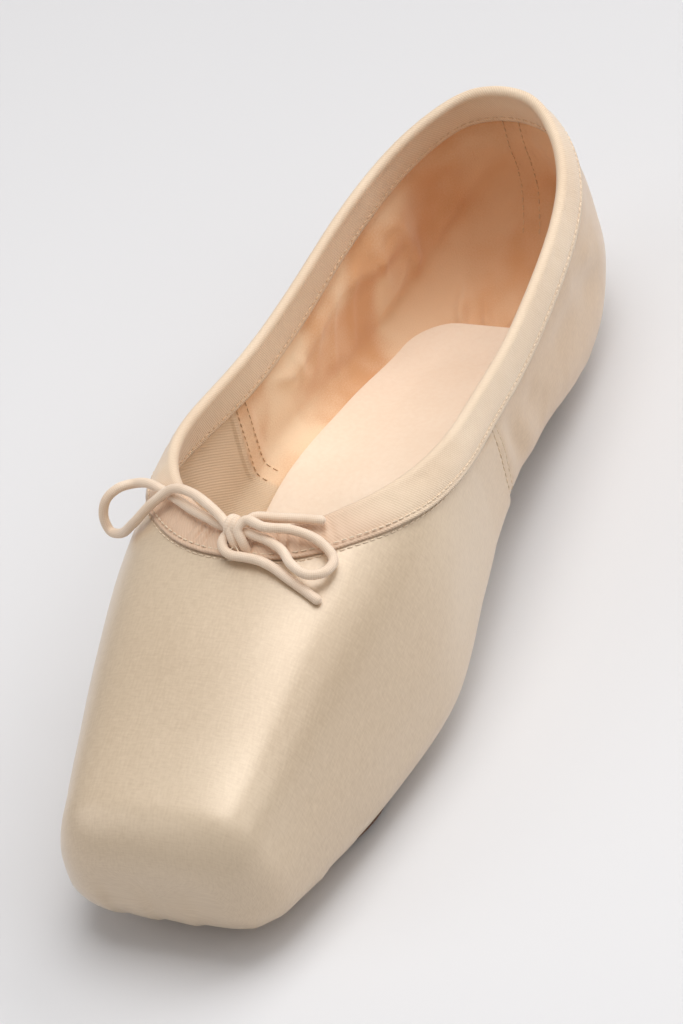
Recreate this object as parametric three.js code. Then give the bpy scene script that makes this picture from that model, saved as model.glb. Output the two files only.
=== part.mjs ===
// A satin pointe shoe, standing empty on its leather sole.
// Millimetres. +X points to the toe, +Y to the wearer's left, +Z up; the floor is z = 0.
import * as THREE from 'three';

// Last: the foot form that gives the upper its shape
const length = 235;
const ballWidth = 78;
const lastHeight = 76;
const widestHeight = 20;
const archRise = 11;
const toeRounding = 10;

// Collar, the line where the upper is cut open
const sideHeight = 47;
const heelHeight = 57;
const throatSetback = 74;

// Walls and the raised side seam
const quarterWall = 1.6;
const boxWall = 3;
const lapWall = 2;
const seamPlace = 128;
const seamRise = 0.8;
const seamTaper = 12;
const seamFade = 2;
const seamStep = 0.5;

// Leather outsole
const soleThickness = 2.2;
const soleWidth = 58;
const soleRearGap = 31;
const soleToeGap = 21;
const soleLap = 6;
const soleGap = 0.4;
const soleSettle = 0.25;
const soleCorner = 9;
const soleToeRound = 26;

// Insole
const insoleThickness = 2;
const insoleGap = 0.5;
const insoleRearGap = 34;
const insoleToeGap = 32;
const insoleEdgeGap = 2;
const insoleRound = 12;
const insoleEndShare = 0.5;

// Binding tape, folded over the collar edge
const tapeThickness = 0.7;
const tapeOuterWidth = 8;
const tapeInnerWidth = 9;
const tapeGap = 0.3;

// Drawstring cord, tied in a bow at the front of the throat
const cordDiameter = 2.2;
const bowReach = 40;
const knotLength = 5.4;
const knotHeight = 5;

// Facet counts
const ribCount = 33;
const rowCount = 24;

const section = (at, half, widest, crown, base, lowPower, topPower) =>
  ({ at, half, widest, crown, base, lowPower, topPower });

// Sections across the last, heel to toe: at is a share of the length, half of half the ball width,
// widest of the widest line's height, crown of the last's height, base of the arch rise
const sections = [
  section(0.000, 0.01, 1.20, 0.36, 2.20, 2.2, 2.2),
  section(0.006, 0.22, 1.20, 0.57, 1.60, 2.2, 2.1),
  section(0.020, 0.39, 1.19, 0.76, 1.00, 2.3, 2.0),
  section(0.050, 0.55, 1.16, 0.87, 0.45, 2.6, 2.0),
  section(0.100, 0.67, 1.12, 0.95, 0.12, 3.2, 2.2),
  section(0.180, 0.75, 1.10, 0.99, 0.00, 4.0, 2.6),
  section(0.320, 0.80, 1.20, 0.95, 0.64, 3.6, 3.0),
  section(0.440, 0.84, 1.25, 0.91, 1.00, 3.4, 3.2),
  section(0.560, 0.94, 1.15, 0.86, 0.55, 3.6, 3.1),
  section(0.680, 1.00, 1.00, 0.76, 0.00, 4.5, 2.8),
  section(0.800, 0.90, 0.90, 0.67, 0.02, 4.5, 2.7),
  section(0.900, 0.77, 0.88, 0.56, 0.14, 4.0, 2.8),
  section(1.000, 0.62, 0.90, 0.45, 0.32, 3.4, 3.0),
];

const rim = (at, heel, throat) => ({ at, heel, throat });

// Collar height: at is a share of the way from heel to throat; heel and throat are shares of the
// rise from the side height to the heel height and to the crown at the throat
const collarLine = [
  rim(0.00, 1.00, 0.00),
  rim(0.05, 0.76, 0.00),
  rim(0.15, 0.38, 0.00),
  rim(0.32, 0.08, 0.00),
  rim(0.55, 0.00, 0.02),
  rim(0.73, 0.00, 0.44),
  rim(0.83, 0.00, 0.76),
  rim(0.91, 0.00, 0.96),
  rim(0.96, 0.00, 1.01),
  rim(1.00, 0.00, 1.00),
];

const station = (at, half) => ({ at, half });

// Outsole: at is a share of its own length from the heel, half a share of half its width
const soleOutline = [
  station(0.00, 0.63),
  station(0.10, 0.71),
  station(0.24, 0.66),
  station(0.38, 0.54),
  station(0.52, 0.60),
  station(0.70, 0.90),
  station(0.84, 1.00),
  station(1.00, 0.86),
];

// Smooth curve through a table: three-point slopes, level at each turn
function slopes(xs, ys) {
  const last = xs.length - 1;
  const steps = xs.slice(1).map((x, i) => (ys[i + 1] - ys[i]) / (x - xs[i]));
  return xs.map((x, i) => {
    if (i === 0) return steps[0];
    if (i === last) return steps[last - 1];
    if (steps[i - 1] * steps[i] <= 0) return 0;
    const before = x - xs[i - 1];
    const after = xs[i + 1] - x;
    return (steps[i - 1] * after + steps[i] * before) / (before + after);
  });
}

function curve(xs, ys) {
  const tangents = slopes(xs, ys);
  return (x) => {
    const clamped = Math.min(Math.max(x, xs[0]), xs[xs.length - 1]);
    let i = 0;
    while (i < xs.length - 2 && clamped > xs[i + 1]) i += 1;
    const span = xs[i + 1] - xs[i];
    const t = (clamped - xs[i]) / span;
    const t2 = t * t;
    const t3 = t2 * t;
    return (2 * t3 - 3 * t2 + 1) * ys[i] + (t3 - 2 * t2 + t) * span * tangents[i]
      + (3 * t2 - 2 * t3) * ys[i + 1] + (t3 - t2) * span * tangents[i + 1];
  };
}

const smooth = (t) => {
  const c = Math.min(Math.max(t, 0), 1);
  return c * c * (3 - 2 * c);
};

const mix = (a, b, t) => a + (b - a) * t;

// How far a rounded end of the given radius has drawn in, at a depth into the rounding
const drawnIn = (radius, depth) => {
  const d = Math.min(Math.max(depth, 0), radius);
  return radius - Math.sqrt(radius * radius - d * d);
};

// The table is read along the square root of the length, which rounds the heel's back
const alongLast = sections.map((row) => Math.sqrt(row.at));
const column = (pick) => curve(alongLast, sections.map(pick));
const restLift = soleThickness + soleGap - soleSettle;
const halfColumn = column((row) => row.half * ballWidth / 2);
const widestColumn = column((row) => row.widest * widestHeight);
const crownColumn = column((row) => row.crown * lastHeight);
const baseColumn = column((row) => restLift + row.base * archRise);
const lowPowerColumn = column((row) => row.lowPower);
const topPowerColumn = column((row) => row.topPower);

function lastAt(x) {
  const along = Math.sqrt(Math.min(Math.max(x / length, 0), 1));
  const inward = drawnIn(toeRounding, x - (length - toeRounding));
  return {
    half: halfColumn(along) - inward,
    widest: widestColumn(along),
    crown: crownColumn(along) - inward,
    base: baseColumn(along) + inward,
    lowPower: lowPowerColumn(along),
    topPower: topPowerColumn(along),
  };
}

// Below 1 inside the last, above 1 outside
function lastValue(p) {
  if (p.x <= 0 || p.x >= length) return 9;
  const s = lastAt(p.x);
  const above = p.z > s.widest;
  const power = above ? s.topPower : s.lowPower;
  const rise = above ? s.crown - s.widest : s.widest - s.base;
  return (Math.abs(p.y) / s.half) ** power + (Math.abs(p.z - s.widest) / rise) ** power;
}

// Height of the last's underside
function underside(x, y) {
  const s = lastAt(x);
  const share = Math.min(Math.abs(y) / s.half, 1);
  return s.widest - (s.widest - s.base) * (1 - share ** s.lowPower) ** (1 / s.lowPower);
}

// Half width of the last's underside where it has risen by a height
function undersideHalf(x, rise) {
  const s = lastAt(x);
  const share = 1 - rise / (s.widest - s.base);
  return s.half * (1 - share ** s.lowPower) ** (1 / s.lowPower);
}

const nudge = 0.05;

function outward(p) {
  const change = (axis) => {
    const ahead = p.clone();
    const behind = p.clone();
    ahead[axis] += nudge;
    behind[axis] -= nudge;
    return lastValue(ahead) - lastValue(behind);
  };
  return new THREE.Vector3(change('x'), change('y'), change('z')).normalize();
}

// Collar line
const throatX = length - throatSetback;
const throatHeight = lastAt(throatX).crown;
const rimAt = collarLine.map((row) => row.at);
const rimHeel = curve(rimAt, collarLine.map((row) => row.heel));
const rimThroat = curve(rimAt, collarLine.map((row) => row.throat));

function collarHeight(x) {
  const at = x / throatX;
  return sideHeight + rimHeel(at) * (heelHeight - sideHeight)
    + rimThroat(at) * (throatHeight - sideHeight) + Math.max(0, x - throatX);
}

// Outsole outline, drawn in by a lap for the opening beneath the upper
const soleRear = soleRearGap;
const soleFront = length - soleToeGap;
const soleLength = soleFront - soleRear;
const soleHalfTable = curve(
  soleOutline.map((row) => row.at),
  soleOutline.map((row) => row.half * soleWidth / 2),
);

function soleHalf(x) {
  const fromFront = soleToeRound - (soleFront - x);
  const fromRear = soleCorner - (x - soleRear);
  return soleHalfTable((x - soleRear) / soleLength)
    - drawnIn(soleToeRound, fromFront) - drawnIn(soleCorner, fromRear);
}

const openingRear = soleRear + soleLap;
const openingFront = soleFront - soleLap;

function beyondOpening(p) {
  const pastEnd = Math.max(openingRear - p.x, p.x - openingFront);
  return Math.max(pastEnd, Math.abs(p.y) - (soleHalf(p.x) - soleLap));
}

// Ribs: upright planes that fan round the heel and the toe from two points on the centre line
const heelFan = 15;
const toeFan = 31;
const heelCentre = openingRear + heelFan;
const toeCentre = throatX - toeFan;
const rightAngle = Math.PI / 2;
const steepest = 0.49 * Math.PI;

const planeAt = (turn, x) => ({ turn, x });

function castRay(plane, lift) {
  const reach = Math.cos(lift);
  const ray = new THREE.Vector3(
    reach * Math.cos(plane.turn),
    reach * Math.sin(plane.turn),
    Math.sin(lift),
  );
  const core = new THREE.Vector3(plane.x, 0, lastAt(plane.x).widest);
  let inside = 0;
  let outside = length;
  for (let i = 0; i < 40; i += 1) {
    const middle = (inside + outside) / 2;
    const p = core.clone().addScaledVector(ray, middle);
    if (lastValue(p) < 1) inside = middle;
    else outside = middle;
  }
  return core.addScaledVector(ray, inside);
}

// The angle where a rib's surface point crosses a limit
function crossing(plane, start, end, test) {
  let kept = start;
  let cut = end;
  for (let i = 0; i < 34; i += 1) {
    const middle = (kept + cut) / 2;
    if (test(castRay(plane, middle))) kept = middle;
    else cut = middle;
  }
  return kept;
}

// Points evenly spread along a line, with more where it bends
function spread(points, count, bendLength) {
  const measure = [0];
  for (let i = 1; i < points.length; i += 1) {
    const step = points[i].distanceTo(points[i - 1]);
    let turn = 0;
    if (i > 1) {
      const before = points[i - 1].clone().sub(points[i - 2]);
      const after = points[i].clone().sub(points[i - 1]);
      turn = before.angleTo(after);
    }
    measure.push(measure[i - 1] + step + bendLength * turn);
  }
  const total = measure[measure.length - 1];
  return Array.from({ length: count }, (_, k) => {
    const wanted = total * k / (count - 1);
    let i = 1;
    while (i < points.length - 1 && measure[i] < wanted) i += 1;
    const t = (wanted - measure[i - 1]) / (measure[i] - measure[i - 1]);
    return { at: i - 1 + t, point: points[i - 1].clone().lerp(points[i], t) };
  });
}

const planBend = 16;
const rowBend = 9;
const fineSteps = 90;

function ribPlanes() {
  const fine = [];
  for (let i = 0; i < fineSteps; i += 1) fine.push(planeAt(rightAngle * i / fineSteps, toeCentre));
  for (let i = 0; i <= fineSteps; i += 1) {
    fine.push(planeAt(rightAngle, mix(toeCentre, heelCentre, i / fineSteps)));
  }
  for (let i = 1; i <= fineSteps; i += 1) {
    fine.push(planeAt(rightAngle * (1 + i / fineSteps), heelCentre));
  }
  const outline = fine.map((plane) => castRay(plane, 0));
  const planes = spread(outline, ribCount, planBend).map(({ at }) => {
    const i = Math.min(Math.floor(at), fine.length - 2);
    const t = at - i;
    return planeAt(mix(fine[i].turn, fine[i + 1].turn, t), mix(fine[i].x, fine[i + 1].x, t));
  });
  return withSeam(planes);
}

// The rib nearest the side seam becomes two, either side of its step
const seamX = length - seamPlace;

function withSeam(planes) {
  const straight = planes.filter((plane) => plane.x > heelCentre && plane.x < toeCentre);
  const distance = (plane) => Math.abs(plane.x - seamX);
  const nearest = straight.reduce((a, b) => (distance(a) < distance(b) ? a : b));
  const at = planes.indexOf(nearest);
  const ahead = planeAt(rightAngle, seamX);
  const behind = planeAt(rightAngle, seamX - seamStep);
  return [...planes.slice(0, at), ahead, behind, ...planes.slice(at + 1)];
}

// A rib's surface line from collar to underside opening
function ribLine(plane) {
  const top = crossing(plane, 0, steepest, (p) => p.z < collarHeight(p.x));
  const bottom = crossing(plane, 0, -steepest, (p) => beyondOpening(p) > 0);
  return Array.from({ length: fineSteps + 1 }, (_, i) =>
    castRay(plane, mix(top, bottom, i / fineSteps)));
}

function lengthsAlong(line) {
  const along = [0];
  for (let i = 1; i < line.length; i += 1) {
    along.push(along[i - 1] + line[i].distanceTo(line[i - 1]));
  }
  return along;
}

function pointBelowRim(line, distance) {
  const along = lengthsAlong(line);
  let i = 1;
  while (i < line.length - 1 && along[i] < distance) i += 1;
  const t = (distance - along[i - 1]) / (along[i] - along[i - 1]);
  return line[i - 1].clone().lerp(line[i], t);
}

// Rows of a rib: at the rim, half way down the tape and at its edge, then spread to the opening
function rowsOf(line) {
  const along = lengthsAlong(line);
  const tapeEdge = pointBelowRim(line, tapeOuterWidth);
  const rest = [tapeEdge, ...line.filter((p, i) => along[i] > tapeOuterWidth)];
  const lower = spread(rest, rowCount - 2, rowBend).map(({ point }) => point);
  return [line[0], pointBelowRim(line, tapeOuterWidth / 2), ...lower];
}

// The vamp's folded edge stands proud along the side seam and dies away towards the toe,
// beneath the tape and where the outsole covers it
function seamHeight(p, belowRim) {
  if (p.x < seamX - seamStep / 2) return 0;
  const clearOfTape = smooth((belowRim - tapeOuterWidth) / seamFade);
  const clearOfSole = smooth((Math.abs(p.y) - soleHalf(p.x)) / seamFade);
  return seamRise * clearOfTape * clearOfSole * Math.max(0, 1 - (p.x - seamX) / seamTaper);
}

// Thick at the box, thinner at the quarters, the rim and the lap under the foot
const boxBlend = 45;
const rimBlend = 25;
const lapTop = 15;

function wallAt(p, belowRim) {
  const boxShare = smooth((p.x - seamX) / boxBlend) * smooth(belowRim / rimBlend);
  const upright = mix(quarterWall, boxWall, boxShare);
  const lowShare = 1 - smooth((p.z - lastAt(p.x).base) / lapTop);
  return mix(upright, lapWall, lowShare);
}

const mirrored = (p) => new THREE.Vector3(p.x, -p.y, p.z);

// A half ring of columns, heel and toe columns on the centre line, mirrored to a full ring
function fullRing(columns) {
  const across = columns.slice(1, -1).reverse().map((points) => points.map(mirrored));
  return [...columns, ...across];
}

function centred(columns) {
  const ends = [0, columns.length - 1];
  for (const i of ends) for (const p of columns[i]) p.y = 0;
  return columns;
}

// Closed body from rings of points: every column is a closed loop, and the columns close too
function ringBody(columns) {
  const loop = columns[0].length;
  const positions = columns.flat().flatMap((p) => [p.x, p.y, p.z]);
  const index = [];
  const at = (c, r) => (c % columns.length) * loop + (r % loop);
  for (let c = 0; c < columns.length; c += 1) {
    for (let r = 0; r < loop; r += 1) {
      index.push(at(c, r), at(c + 1, r), at(c + 1, r + 1));
      index.push(at(c, r), at(c + 1, r + 1), at(c, r + 1));
    }
  }
  return closedBody(positions, index);
}

// Faces turned so that the volume they enclose is positive
function closedBody(positions, index) {
  const corner = (i) => new THREE.Vector3().fromArray(positions, 3 * i);
  let volume = 0;
  for (let i = 0; i < index.length; i += 3) {
    volume += corner(index[i]).dot(corner(index[i + 1]).cross(corner(index[i + 2])));
  }
  const faces = volume > 0 ? index : index.slice().reverse();
  const geometry = new THREE.BufferGeometry();
  geometry.setAttribute('position', new THREE.Float32BufferAttribute(positions, 3));
  geometry.setIndex(faces);
  geometry.computeVertexNormals();
  return geometry;
}

const planes = ribPlanes();
const lines = planes.map(ribLine);

function upperBody() {
  const columns = lines.map((line) => {
    const rows = rowsOf(line);
    const belowRim = lengthsAlong(rows);
    const normals = rows.map(outward);
    const outer = rows.map((p, i) =>
      p.clone().addScaledVector(normals[i], seamHeight(p, belowRim[i])));
    const inner = rows.map((p, i) =>
      p.clone().addScaledVector(normals[i], -wallAt(p, belowRim[i])));
    return [...outer, ...inner.reverse()];
  });
  return ringBody(fullRing(centred(columns)));
}

// The tape's section, folded over the rim: offsets out from the surface and up past the rim
function bindingBody() {
  const columns = lines.map((line) => {
    const top = line[0];
    const normal = outward(top);
    const up = top.clone().sub(line[2]).normalize();
    const wall = wallAt(top, 0);
    const leg = (distance, offset) => {
      const p = pointBelowRim(line, distance);
      return p.clone().addScaledVector(outward(p), offset(wallAt(p, distance)));
    };
    const fold = (angle, clear) => top.clone()
      .addScaledVector(normal, -wall / 2 + (wall / 2 + clear) * Math.cos(angle))
      .addScaledVector(up, (wall / 2 + clear) * Math.sin(angle));
    const turns = [0, 1 / 3, 2 / 3, 1].map((share) => share * Math.PI);
    const face = (clear) => [
      leg(tapeOuterWidth, () => clear),
      leg(tapeOuterWidth / 2, () => clear),
      ...turns.map((angle) => fold(angle, clear)),
      leg(tapeOuterWidth / 2, (w) => -w - clear),
      leg(tapeInnerWidth, (w) => -w - clear),
    ];
    return [...face(tapeGap + tapeThickness), ...face(tapeGap).reverse()];
  });
  return ringBody(fullRing(centred(columns)));
}

// A sheet between two heights over an outline that is symmetric about the centre line
function sheetBody(rear, front, half, top, bottom, counts) {
  const columns = [];
  for (let i = 0; i <= counts.along; i += 1) {
    const share = (1 - Math.cos(Math.PI * i / counts.along)) / 2;
    const x = mix(rear, front, mix(i / counts.along, share, counts.endShare));
    for (let j = 0; j <= counts.across; j += 1) {
      const y = half(x) * (2 * j / counts.across - 1);
      columns.push([new THREE.Vector3(x, y, bottom(x, y)), new THREE.Vector3(x, y, top(x, y))]);
    }
  }
  const positions = columns.flat().flatMap((p) => [p.x, p.y, p.z]);
  const at = (i, j, layer) => 2 * (i * (counts.across + 1) + j) + layer;
  const index = [];
  const quad = (a, b, c, d) => index.push(a, b, c, a, c, d);
  for (let i = 0; i < counts.along; i += 1) {
    for (let j = 0; j < counts.across; j += 1) {
      quad(at(i, j, 1), at(i + 1, j, 1), at(i + 1, j + 1, 1), at(i, j + 1, 1));
      quad(at(i, j, 0), at(i, j + 1, 0), at(i + 1, j + 1, 0), at(i + 1, j, 0));
    }
    const last = counts.across;
    quad(at(i, 0, 0), at(i + 1, 0, 0), at(i + 1, 0, 1), at(i, 0, 1));
    quad(at(i, last, 1), at(i + 1, last, 1), at(i + 1, last, 0), at(i, last, 0));
  }
  for (let j = 0; j < counts.across; j += 1) {
    const end = counts.along;
    quad(at(0, j, 1), at(0, j + 1, 1), at(0, j + 1, 0), at(0, j, 0));
    quad(at(end, j, 0), at(end, j + 1, 0), at(end, j + 1, 1), at(end, j, 1));
  }
  return closedBody(positions, index);
}

function outsoleBody() {
  const top = (x, y) => underside(x, y) - soleGap;
  const bottom = (x, y) => Math.max(0, top(x, y) - soleThickness);
  const counts = { along: 34, across: 10, endShare: 0.5 };
  return sheetBody(soleRear, soleFront, soleHalf, top, bottom, counts);
}

function insoleBody() {
  const rear = insoleRearGap;
  const front = length - insoleToeGap;
  const bottom = (x, y) => underside(x, y) + lapWall + insoleGap;
  const top = (x, y) => bottom(x, y) + insoleThickness;
  const rounded = (toEnd) => 1 - drawnIn(insoleRound, insoleRound - toEnd) / insoleRound;
  const kept = (toEnd) => mix(insoleEndShare, 1, rounded(toEnd));
  const half = (x) => (undersideHalf(x, insoleThickness) - insoleEdgeGap)
    * kept(x - rear) * kept(front - x);
  const counts = { along: 18, across: 4, endShare: 0.5 };
  return sheetBody(rear, front, half, top, bottom, counts);
}

// The bow's places are shares of its reach, from the top of the rim at the front of the throat
const place = (x, y, z) => new THREE.Vector3(x, y, z).multiplyScalar(bowReach);
const knotPlace = place(0.072, -0.030, 0.077);

const loopLeft = [
  place(0.053, -0.107, 0.113),
  place(-0.015, -0.212, 0.133),
  place(-0.082, -0.338, 0.140),
  place(-0.123, -0.475, 0.115),
  place(-0.080, -0.610, 0.030),
  place(-0.037, -0.735, -0.090),
  place(-0.065, -0.865, -0.215),
  place(-0.095, -0.950, -0.235),
  place(-0.120, -0.980, -0.155),
  place(-0.160, -0.955, -0.060),
  place(-0.215, -0.890, -0.015),
  place(-0.265, -0.810, -0.015),
  place(-0.245, -0.710, 0.015),
  place(-0.185, -0.590, 0.033),
  place(-0.115, -0.465, 0.045),
  place(-0.040, -0.340, 0.055),
  place(0.015, -0.215, 0.057),
  place(0.050, -0.107, 0.048),
];

const loopRight = [
  place(0.065, 0.050, 0.125),
  place(0.090, 0.165, 0.115),
  place(0.055, 0.315, 0.080),
  place(0.065, 0.460, 0.030),
  place(0.130, 0.560, -0.030),
  place(0.230, 0.550, -0.030),
  place(0.290, 0.475, -0.005),
  place(0.255, 0.375, 0.020),
  place(0.170, 0.285, 0.035),
  place(0.120, 0.180, 0.045),
  place(0.090, 0.055, 0.053),
];

const tailUpper = [
  place(-0.010, 0.055, 0.080),
  place(-0.030, 0.175, 0.072),
  place(-0.050, 0.300, 0.065),
  place(-0.065, 0.425, 0.055),
];

const tailLower = [
  place(0.160, 0.060, 0.035),
  place(0.215, 0.190, 0.005),
  place(0.270, 0.320, -0.035),
  place(0.320, 0.435, -0.075),
  place(0.360, 0.535, -0.115),
];

const cordSides = 8;
const cordStep = 5.5;

function cordBody(route) {
  const path = new THREE.CatmullRomCurve3(route);
  const outline = new THREE.Shape();
  for (let i = 0; i < cordSides; i += 1) {
    const angle = 2 * Math.PI * i / cordSides;
    const x = cordDiameter / 2 * Math.cos(angle);
    const y = cordDiameter / 2 * Math.sin(angle);
    if (i === 0) outline.moveTo(x, y);
    else outline.lineTo(x, y);
  }
  outline.closePath();
  const steps = Math.ceil(path.getLength() / cordStep);
  return new THREE.ExtrudeGeometry(outline, { steps, extrudePath: path, bevelEnabled: false });
}

function knotBody() {
  const ball = new THREE.SphereGeometry(0.5, 12, 8);
  ball.scale(knotLength, knotHeight, knotHeight);
  return ball.translate(knotPlace.x, knotPlace.y, knotPlace.z);
}

const finish = (color, roughness) => ({ color, roughness, metalness: 0 });
const satin = finish('#e3c9ab', 0.42);
const suede = finish('#8f7f6a', 0.9);
const sock = finish('#ecc9a6', 0.7);
const tape = finish('#dfbb98', 0.75);
const cord = finish('#ecc7a4', 0.6);

function piece(name, geometry, look) {
  const mesh = new THREE.Mesh(geometry, new THREE.MeshStandardMaterial(look));
  mesh.name = name;
  return mesh;
}

const group = new THREE.Group();
group.add(piece('upper', upperBody(), satin));
group.add(piece('outsole', outsoleBody(), suede));
group.add(piece('insole', insoleBody(), sock));
group.add(piece('collar_binding', bindingBody(), tape));

const bow = new THREE.Group();
bow.position.set(throatX, 0, throatHeight);
bow.add(piece('bow_knot', knotBody(), cord));
bow.add(piece('bow_loop_left', cordBody(loopLeft), cord));
bow.add(piece('bow_loop_right', cordBody(loopRight), cord));
bow.add(piece('bow_tail_upper', cordBody(tailUpper), cord));
bow.add(piece('bow_tail_lower', cordBody(tailLower), cord));
group.add(bow);
group.position.x = -length / 2;

export default group;
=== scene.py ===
# A satin pointe shoe, standing empty and unbent on its suede outsole in soft light
import math

import bpy
import numpy as np
from mathutils import Matrix, Vector, noise


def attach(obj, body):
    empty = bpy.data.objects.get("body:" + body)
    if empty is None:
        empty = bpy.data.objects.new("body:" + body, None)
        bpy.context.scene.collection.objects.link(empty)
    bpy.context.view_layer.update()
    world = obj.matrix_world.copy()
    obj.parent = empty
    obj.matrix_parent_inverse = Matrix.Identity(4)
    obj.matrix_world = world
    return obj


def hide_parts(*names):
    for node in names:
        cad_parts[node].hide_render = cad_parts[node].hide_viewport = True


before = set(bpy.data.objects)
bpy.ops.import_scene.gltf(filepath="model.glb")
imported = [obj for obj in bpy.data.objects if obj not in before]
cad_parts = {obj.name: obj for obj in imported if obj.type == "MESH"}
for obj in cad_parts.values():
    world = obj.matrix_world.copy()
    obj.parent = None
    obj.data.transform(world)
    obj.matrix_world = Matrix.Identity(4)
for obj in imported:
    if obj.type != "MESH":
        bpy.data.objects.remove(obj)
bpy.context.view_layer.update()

# Sizes are in millimetres from the back of the heel, as the shoe is drawn;
# every mesh is put down in metres with the shoe's middle at the origin
MM = 0.001
METRE = 1000.0
LENGTH = 235.0
BALL_WIDTH = 78.0
LAST_HEIGHT = 76.0
WIDEST_HEIGHT = 20.0
ARCH_RISE = 11.0
TOE_ROUNDING = 10.0
SIDE_HEIGHT = 47.0
HEEL_HEIGHT = 57.0
THROAT_X = LENGTH - 74.0
SEAM_X = LENGTH - 128.0
QUARTER_WALL = 1.6
BOX_WALL = 3.0
LAP_WALL = 2.0
SOLE_THICKNESS = 2.2
SOLE_WIDTH = 58.0
SOLE_REAR = 31.0
SOLE_FRONT = LENGTH - 21.0
SOLE_LAP = 6.0
SOLE_GAP = 0.4
SOLE_CORNER = 9.0
SOLE_TOE_ROUND = 26.0
REST_LIFT = 2.35
INSOLE_THICKNESS = 2.0
INSOLE_GAP = 0.5
INSOLE_REAR = 34.0
INSOLE_FRONT = LENGTH - 32.0
INSOLE_EDGE_GAP = 2.0
INSOLE_ROUND = 12.0
INSOLE_END_SHARE = 0.5
TAPE_THICKNESS = 0.7
TAPE_OUTER = 8.0
TAPE_INNER = 9.0
TAPE_GAP = 0.3
TAPE_TURN = 0.6
TAPE_ROWS = 14
FOLD_ROWS = 9
GATHER_PITCH = 3.1
GATHER_HEIGHT = 1.1
GATHER_REACH = 16
RIM_PINCH = 0.6
CORD_DIAMETER = 2.2
SEAM_STEP = 0.8
SEAM_FADE = 12.0
SEAM_ROWS = (2.3, 4.5)
GROOVE_WIDTH = 0.45
GROOVE_DEPTH = 0.14
PLEAT_HEIGHT = 0.55
SEAM_ROWS_INSIDE = (1.0, 4.8)
HEEL_ROWS_INSIDE = (-2.2, 2.2)
STITCH_DENT = 0.16
SOLE_HOLE_PITCH = 2.3
SOLE_HOLE_ROWS = ((2.4, 0.0), (4.6, 0.5))
SCORED_INSET = 6.2

# Where looks and painted shade change along the shoe, in millimetres from its middle: from, to
QUARTER_SHADE_TO_BOX = (-40.0, 20.0)
QUARTER_TO_VAMP = (-12.0, -10.0)
HEEL_SHADE_TO_QUARTER = (-100.0, -60.0)
TAPE_THROAT_SHADE = (27.0, 41.0)
SCORED_FROM = (12.0, 12.5)
SCORED_TO = (82.0, 82.5)

# Sections of the last, heel to toe: place, half width, widest height, crown, base, low and top power
SECTIONS = np.array([
    (0.000, 0.01, 1.20, 0.36, 2.20, 2.2, 2.2),
    (0.006, 0.22, 1.20, 0.57, 1.60, 2.2, 2.1),
    (0.020, 0.39, 1.19, 0.76, 1.00, 2.3, 2.0),
    (0.050, 0.55, 1.16, 0.87, 0.45, 2.6, 2.0),
    (0.100, 0.67, 1.12, 0.95, 0.12, 3.2, 2.2),
    (0.180, 0.75, 1.10, 0.99, 0.00, 4.0, 2.6),
    (0.320, 0.80, 1.20, 0.95, 0.64, 3.6, 3.0),
    (0.440, 0.84, 1.25, 0.91, 1.00, 3.4, 3.2),
    (0.560, 0.94, 1.15, 0.86, 0.55, 3.6, 3.1),
    (0.680, 1.00, 1.00, 0.76, 0.00, 4.5, 2.8),
    (0.800, 0.90, 0.90, 0.67, 0.02, 4.5, 2.7),
    (0.900, 0.77, 0.88, 0.56, 0.14, 4.0, 2.8),
    (1.000, 0.62, 0.90, 0.45, 0.32, 3.4, 3.0),
])

# Collar height from heel to throat: place, share of the heel's rise, share of the throat's rise
COLLAR = np.array([
    (0.00, 1.00, 0.00),
    (0.05, 0.76, 0.00),
    (0.15, 0.38, 0.00),
    (0.32, 0.08, 0.00),
    (0.55, 0.00, 0.02),
    (0.73, 0.00, 0.44),
    (0.83, 0.00, 0.76),
    (0.91, 0.00, 0.96),
    (0.96, 0.00, 1.01),
    (1.00, 0.00, 1.00),
])

# Outsole's outline from heel to toe: place, share of its half width
SOLE_OUTLINE = np.array([
    (0.00, 0.63),
    (0.10, 0.71),
    (0.24, 0.66),
    (0.38, 0.54),
    (0.52, 0.60),
    (0.70, 0.90),
    (0.84, 1.00),
    (1.00, 0.86),
])


def smooth_curve(xs, ys, level_turns=True):
    """Smooth curve through points, level at each turn unless it is free to turn there."""
    spans = np.diff(xs)
    steps = np.diff(ys) / spans
    tangents = np.empty(len(xs))
    tangents[0], tangents[-1] = steps[0], steps[-1]
    blended = (steps[:-1] * spans[1:] + steps[1:] * spans[:-1]) / (spans[:-1] + spans[1:])
    tangents[1:-1] = np.where(level_turns & (steps[:-1] * steps[1:] <= 0), 0, blended)

    def at(x):
        x = np.clip(x, xs[0], xs[-1])
        i = np.clip(np.searchsorted(xs, x, side="right") - 1, 0, len(xs) - 2)
        span = xs[i + 1] - xs[i]
        t = (x - xs[i]) / span
        first = (2 * t**3 - 3 * t**2 + 1) * ys[i] + (t**3 - 2 * t**2 + t) * span * tangents[i]
        return first + (3 * t**2 - 2 * t**3) * ys[i + 1] + (t**3 - t**2) * span * tangents[i + 1]

    return at


def smooth(t):
    t = np.clip(t, 0, 1)
    return t * t * (3 - 2 * t)


def mix(a, b, t):
    return a + (b - a) * t


def bell(away, width):
    return np.exp(-((away / width) ** 2))


def length_along(path):
    """The length run along a path, at each of its points."""
    return np.concatenate([[0], np.linalg.norm(np.diff(path, axis=0), axis=1).cumsum()])


def drawn_in(radius, depth):
    """How far a rounded end has drawn in, at a depth into its rounding."""
    d = np.clip(depth, 0, radius)
    return radius - np.sqrt(radius * radius - d * d)


# The sections are read from one finely sampled table
FINE = np.linspace(0, 1, 3001)
ALONG = np.sqrt(SECTIONS[:, 0])
FINE_SECTIONS = np.array([
    smooth_curve(ALONG, SECTIONS[:, column] * size)(FINE)
    for column, size in (
        (1, BALL_WIDTH / 2), (2, WIDEST_HEIGHT), (3, LAST_HEIGHT), (4, ARCH_RISE), (5, 1), (6, 1))
])


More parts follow.
